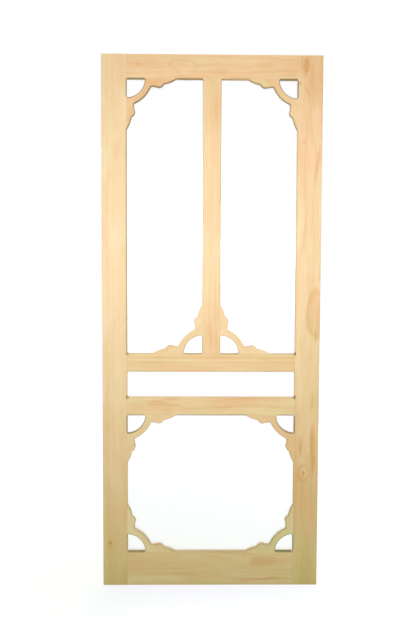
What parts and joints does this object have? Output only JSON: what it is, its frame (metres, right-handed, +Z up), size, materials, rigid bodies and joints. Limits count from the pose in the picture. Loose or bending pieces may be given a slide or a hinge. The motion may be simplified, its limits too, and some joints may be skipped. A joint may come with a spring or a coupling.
{
  "type": "wooden screen door",
  "caption": "Unfinished pine screen door leaf with scroll-sawn corner brackets, a split upper light, a narrow middle light and a lower light, screened from behind.",
  "frame": {"origin": "on the left outer edge (the edge that takes the hinges), at the foot of the door, halfway through its thickness", "axes": "+X from the hinge edge to the latch edge, +Y from the front face to the back, +Z up"},
  "size_m": [0.832, 0.0286, 2.032],
  "materials": {
    "pine_frame": "matte",
    "pine_bracket": "matte",
    "pine_bead": "matte",
    "screen_wire": "satin"
  },
  "bodies": {
    "root": {"bead_lower_bottom": "pine_bead", "bead_lower_left": "pine_bead", "bead_lower_right": "pine_bead", "bead_lower_top": "pine_bead", "bead_slot_bottom": "pine_bead", "bead_slot_left": "pine_bead", "bead_slot_right": "pine_bead", "bead_slot_top": "pine_bead", "bead_upper_left_bottom": "pine_bead", "bead_upper_left_left": "pine_bead", "bead_upper_left_right": "pine_bead", "bead_upper_left_top": "pine_bead", "bead_upper_right_bottom": "pine_bead", "bead_upper_right_left": "pine_bead", "bead_upper_right_right": "pine_bead", "bead_upper_right_top": "pine_bead", "bottom_rail": "pine_frame", "bracket_lower_bottom_left": "pine_bracket", "bracket_lower_bottom_right": "pine_bracket", "bracket_lower_top_left": "pine_bracket", "bracket_lower_top_right": "pine_bracket", "bracket_mullion_left": "pine_bracket", "bracket_mullion_right": "pine_bracket", "bracket_upper_left": "pine_bracket", "bracket_upper_right": "pine_bracket", "left_stile": "pine_frame", "lower_mid_rail": "pine_frame", "mullion": "pine_frame", "right_stile": "pine_frame", "screen_lower": "screen_wire", "screen_slot": "screen_wire", "screen_upper_left": "screen_wire", "screen_upper_right": "screen_wire", "top_rail": "pine_frame", "upper_mid_rail": "pine_frame"}
  },
  "joints": []
}
